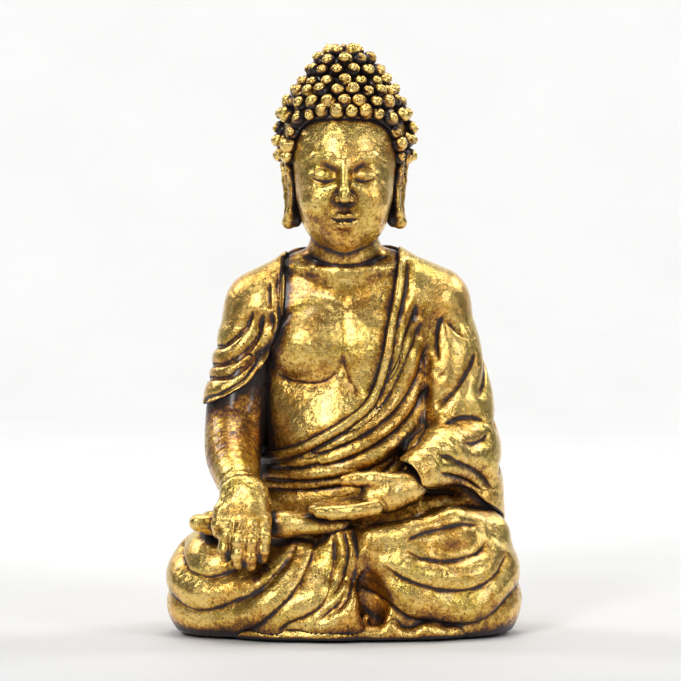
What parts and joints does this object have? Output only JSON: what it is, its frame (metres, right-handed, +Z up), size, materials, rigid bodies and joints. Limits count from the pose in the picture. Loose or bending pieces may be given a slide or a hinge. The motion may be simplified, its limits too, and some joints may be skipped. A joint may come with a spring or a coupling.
{
  "type": "buddha statue",
  "caption": "Seated draped buddha statue in antique gold resin, one hand lowered over the knee and one in the lap, hair in snail curls, flat base on felt pads.",
  "frame": {"origin": "middle of the overall outline at the table, under the felt pads", "axes": "+Z up, the figure faces -Y, +X is the figure's left side (the viewer's right)"},
  "size_m": [0.1817, 0.1278, 0.3],
  "materials": {
    "antique_gold": "metallic gold paint with a dark brown wash in the hollows, glossy",
    "plate_resin": "dull dark brown resin",
    "felt": "black felt"
  },
  "bodies": {
    "root": {"head": "antique_gold", "hair_cap": "antique_gold", "hair_curls": "antique_gold", "urna": "antique_gold", "right_ear": "antique_gold", "left_ear": "antique_gold", "torso": "antique_gold", "right_shawl": "antique_gold", "right_arm": "antique_gold", "right_hand": "antique_gold", "robe": "antique_gold", "left_sleeve": "antique_gold", "left_hand": "antique_gold", "left_foot": "antique_gold", "right_leg": "antique_gold", "left_leg": "antique_gold", "front_pleats": "antique_gold", "base_hem": "antique_gold", "back_drape": "antique_gold", "base_plate": "plate_resin", "felt_pads": "felt"}
  },
  "joints": []
}
